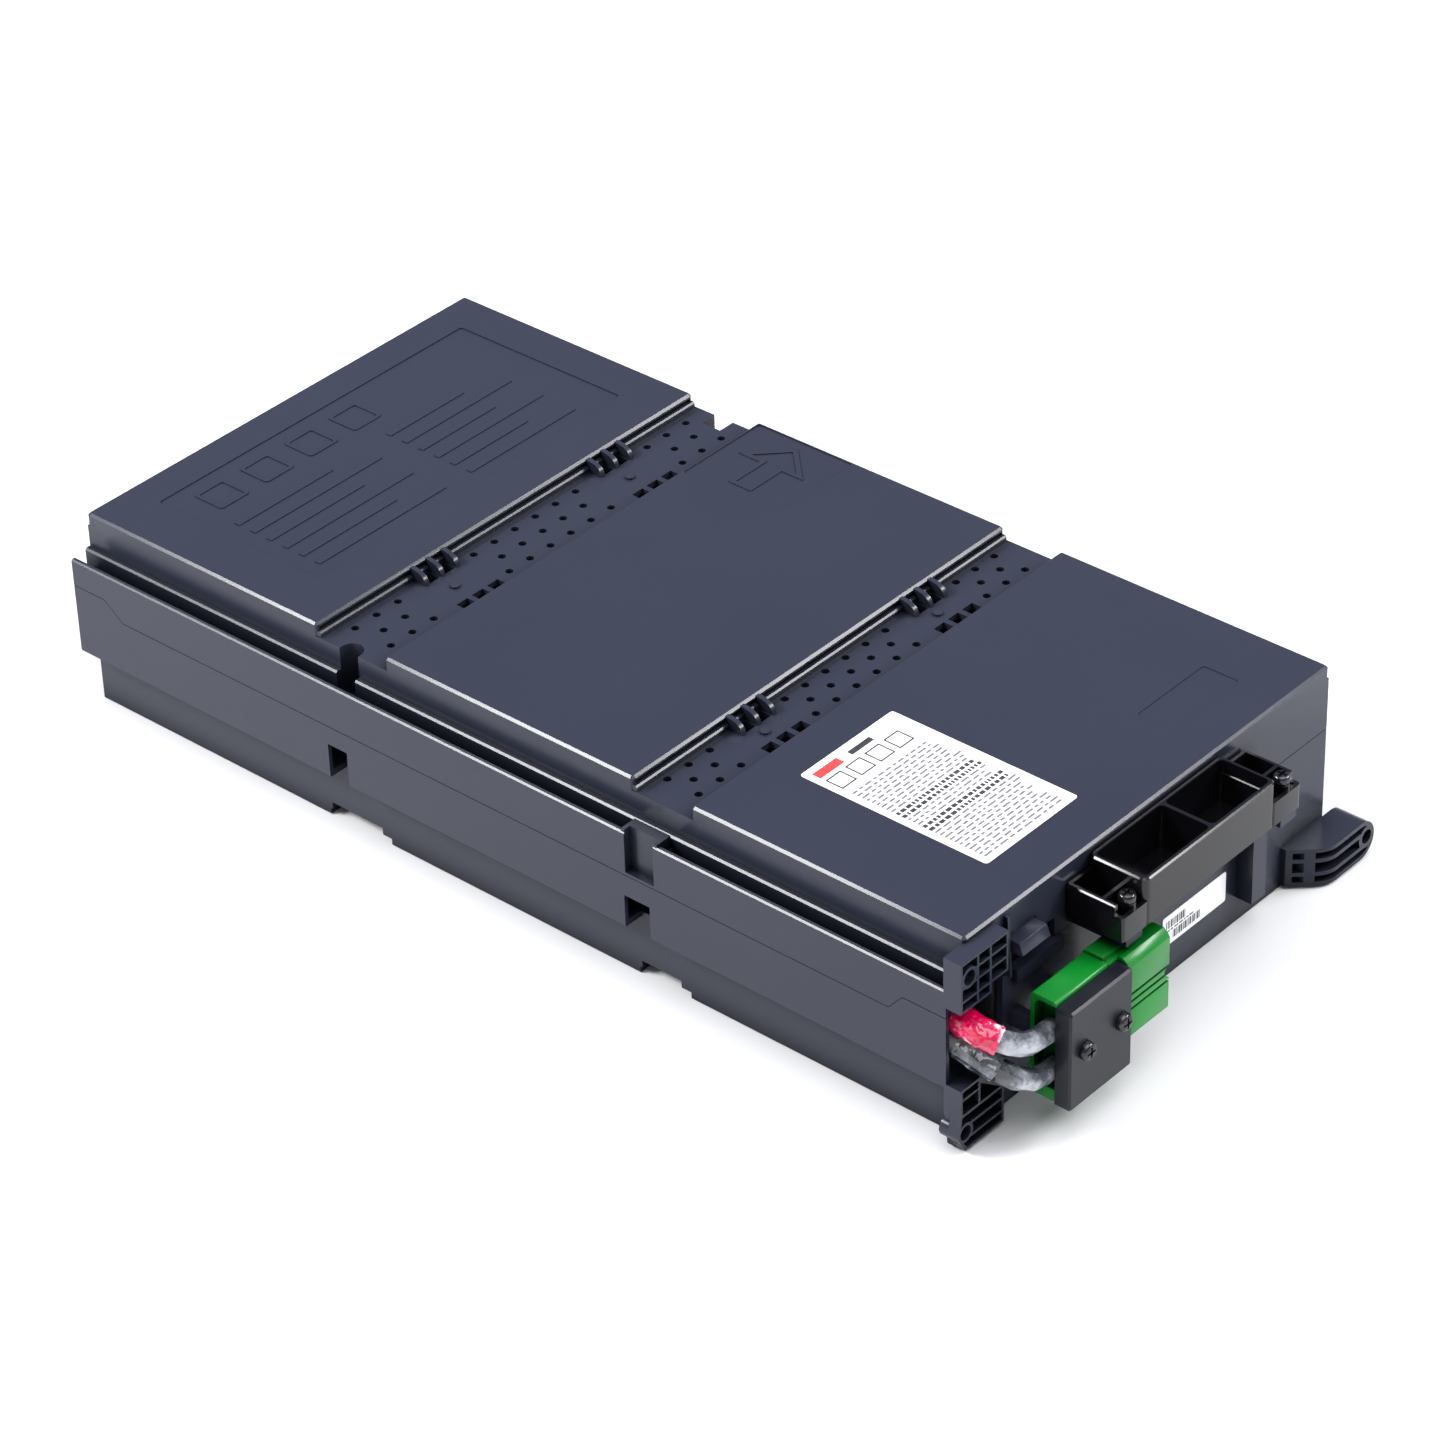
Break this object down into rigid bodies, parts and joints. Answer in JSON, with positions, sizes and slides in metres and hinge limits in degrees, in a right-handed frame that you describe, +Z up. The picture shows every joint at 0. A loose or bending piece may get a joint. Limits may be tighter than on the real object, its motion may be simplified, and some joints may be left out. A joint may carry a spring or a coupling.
{
  "type": "rack battery cartridge",
  "caption": "Rack-mount battery cartridge: flat ribbed black plastic case with vent channels, a grip trough, mounting lugs and a green power connector on short leads",
  "frame": {"origin": "on the underside, in the middle of the middle section, under the case's own centre line", "axes": "+X to the right seen from the front, +Y to the rear, +Z up; the front with grip and connector faces -Y"},
  "size_m": [0.2324, 0.4569, 0.0838],
  "materials": {
    "case_plastic": "satin blue-black moulded ABS",
    "block_plastic": "dark grey battery case",
    "tab_brass": "plain stamped",
    "wire_jacket": "PVC wire jacket",
    "fuse_ceramic": "fuse body",
    "lead_jacket": "clear jacket over tinned strands",
    "grip_plastic": "smooth black",
    "screw_steel": "black oxide",
    "connector_plastic": "green polycarbonate",
    "plate_metal": "satin black",
    "label_film": "white film label",
    "red_sleeve": "red heat-shrink",
    "grey_sleeve": "grey sleeve"
  },
  "bodies": {
    "pack": {"top_cover": "case_plastic", "bottom_tray": "case_plastic", "battery_front_left": "block_plastic", "battery_front_right": "block_plastic", "battery_middle_left": "block_plastic", "battery_middle_right": "block_plastic", "battery_rear_left": "block_plastic", "battery_rear_right": "block_plastic", "terminal_front_left_positive": "tab_brass", "terminal_front_left_negative": "tab_brass", "terminal_front_right_positive": "tab_brass", "terminal_front_right_negative": "tab_brass", "terminal_middle_left_positive": "tab_brass", "terminal_middle_left_negative": "tab_brass", "terminal_middle_right_positive": "tab_brass", "terminal_middle_right_negative": "tab_brass", "terminal_rear_left_positive": "tab_brass", "terminal_rear_left_negative": "tab_brass", "terminal_rear_right_positive": "tab_brass", "terminal_rear_right_negative": "tab_brass", "series_link_front": "wire_jacket", "series_link_middle": "wire_jacket", "series_link_front_channel": "wire_jacket", "series_link_side": "wire_jacket", "fuse_tail_left": "wire_jacket", "fuse_tail_right": "wire_jacket", "string_fuse": "fuse_ceramic", "positive_lead": "lead_jacket", "negative_lead": "lead_jacket", "grip": "grip_plastic", "grip_screw_left": "screw_steel", "grip_screw_right": "screw_steel", "connector_body": "connector_plastic", "connector_shell": "connector_plastic", "contact_positive": "tab_brass", "contact_negative": "tab_brass", "connector_plate": "plate_metal", "plate_screw_left": "screw_steel", "plate_screw_right": "screw_steel", "rating_label": "label_film", "barcode_label": "label_film", "positive_sleeve": "red_sleeve", "negative_sleeve": "grey_sleeve"},
    "snap_tab": {"snap_tab": "case_plastic"}
  },
  "joints": [
    {"name": "snap_tab_flex", "type": "hinge", "parent": "pack", "child": "snap_tab", "pos_m": [-0.0738, -0.20685, 0.0709], "axis": [1, 0, 0], "range_deg": [0, 8], "stiffness_Nm_per_rad": 0.06}
  ]
}
